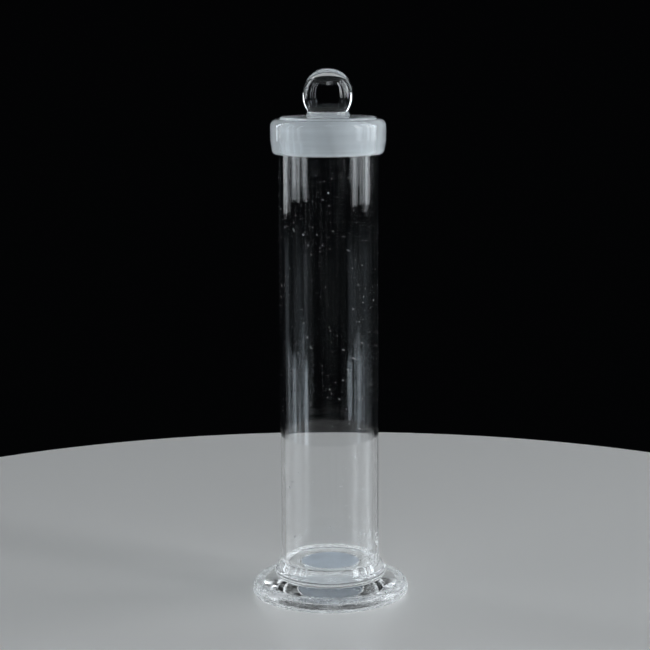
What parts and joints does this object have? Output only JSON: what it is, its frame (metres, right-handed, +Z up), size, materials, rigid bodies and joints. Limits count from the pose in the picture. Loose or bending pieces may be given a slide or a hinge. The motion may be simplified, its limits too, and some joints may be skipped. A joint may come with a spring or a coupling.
{
  "type": "lidded glass canister",
  "caption": "Tall footed glass cylinder jar with a thick mouth collar and a ground-in glass stopper that lifts out by a solid ball knob.",
  "frame": {"origin": "centre of the foot's underside, on the surface that the jar stands on", "axes": "+Z up along the axis of the tube, towards the stopper; X and Y are alike, because every piece is turned about Z"},
  "size_m": [0.0804, 0.0804, 0.2688],
  "materials": {
    "clear_glass": "fire-polished, clear",
    "ground_glass": "ground matte"
  },
  "bodies": {
    "jar": {"foot": "clear_glass", "foot_knop": "clear_glass", "tube": "clear_glass", "mouth_collar": "clear_glass"},
    "stopper": {"stopper_plug": "ground_glass", "ball_knob": "clear_glass"}
  },
  "joints": [
    {"name": "stopper_lift", "type": "slide", "parent": "jar", "child": "stopper", "axis": [0, 0, 1], "range_m": [0, 0.045]}
  ]
}
